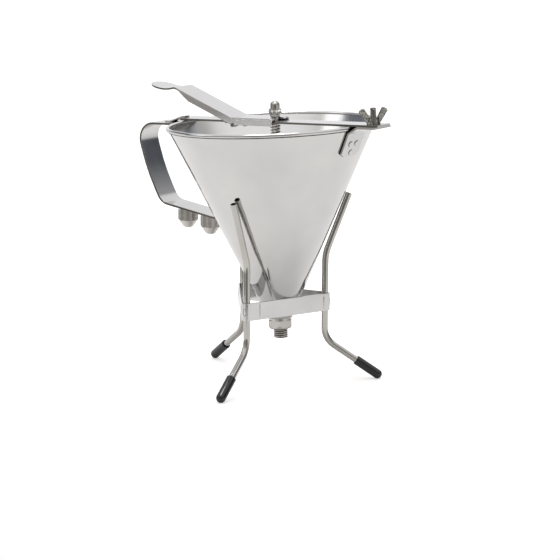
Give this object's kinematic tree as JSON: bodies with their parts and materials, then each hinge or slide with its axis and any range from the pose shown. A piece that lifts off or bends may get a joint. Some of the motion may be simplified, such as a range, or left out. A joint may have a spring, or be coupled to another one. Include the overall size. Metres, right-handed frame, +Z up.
{
  "type": "batter dispenser",
  "caption": "Steel funnel with a spring-closed valve worked by a thumb lever, a strap handle with spare nozzles, and a loose three-legged tube stand.",
  "frame": {"origin": "on the table, under the middle of the whole object's bounding box", "axes": "+Z up, +X from the handle towards the wing nut, +Y to the left of that"},
  "size_m": [0.2662, 0.1964, 0.2615],
  "materials": {
    "satin_steel": "satin polished stainless sheet",
    "tube_steel": "polished stainless tube",
    "bright_steel": "polished stainless",
    "dull_steel": "turned stainless",
    "spring_steel": "drawn wire",
    "black_vinyl": "glossy dipped vinyl"
  },
  "bodies": {
    "stand": {"leg_front": "tube_steel", "leg_right": "tube_steel", "leg_back": "tube_steel", "leg_band": "bright_steel", "foot_cap_front": "black_vinyl", "foot_cap_right": "black_vinyl", "foot_cap_back": "black_vinyl"},
    "funnel": {"funnel_cone": "satin_steel", "outlet_bush": "dull_steel", "handle_strap": "satin_steel", "bridge_catch": "bright_steel", "nozzle_post_outer": "dull_steel", "nozzle_post_inner": "dull_steel", "clamp_bracket": "satin_steel", "bracket_rivets": "bright_steel", "clamp_stud": "dull_steel", "bridge_bar": "bright_steel", "hinge_saddle": "satin_steel", "saddle_rivets": "dull_steel", "lever_pin": "dull_steel", "return_spring": "spring_steel"},
    "lever": {"thumb_lever": "satin_steel"},
    "piston": {"valve_rod": "bright_steel", "valve_plug": "satin_steel", "spring_collar": "dull_steel", "lift_washer": "dull_steel"},
    "cap_nut": {"cap_nut": "dull_steel"},
    "wing_nut": {"wing_nut": "dull_steel"},
    "wide_nozzle": {"spare_nozzle_wide": "dull_steel"},
    "narrow_nozzle": {"spare_nozzle_narrow": "dull_steel"}
  },
  "joints": [
    {"name": "funnel_lift", "type": "slide", "parent": "stand", "child": "funnel", "axis": [0, 0, 1], "range_m": [0, 0.14]},
    {"name": "lever_press", "type": "hinge", "parent": "funnel", "child": "lever", "pos_m": [-0.02424, 0.0032, 0.23181], "axis": [0, -1, 0], "range_deg": [0, 14]},
    {"name": "piston_lift", "type": "slide", "parent": "funnel", "child": "piston", "axis": [-0.0366, 0, 0.9993], "range_m": [0, 0.0112], "stiffness_N_per_m": 500, "springref_m": -0.02, "deforming": ["return_spring"]},
    {"name": "cap_nut_turn", "type": "hinge", "parent": "piston", "child": "cap_nut", "pos_m": [0.01459, 0.0032, 0.24364], "axis": [-0.0366, 0, 0.9993], "continuous": true},
    {"name": "wing_nut_turn", "type": "hinge", "parent": "funnel", "child": "wing_nut", "pos_m": [0.12145, 0.0032, 0.24478], "axis": [-0.0593, 0, 0.9982], "continuous": true},
    {"name": "wide_nozzle_unscrew", "type": "hinge", "parent": "funnel", "child": "wide_nozzle", "pos_m": [-0.08528, 0.0032, 0.14836], "axis": [0, 0, -1], "continuous": true},
    {"name": "narrow_nozzle_unscrew", "type": "hinge", "parent": "funnel", "child": "narrow_nozzle", "pos_m": [-0.05899, 0.0032, 0.14504], "axis": [0, 0, -1], "continuous": true}
  ],
  "couplings": [
    {"joint": "piston_lift", "follows": "lever_press", "m_per_rad": 0.045}
  ]
}
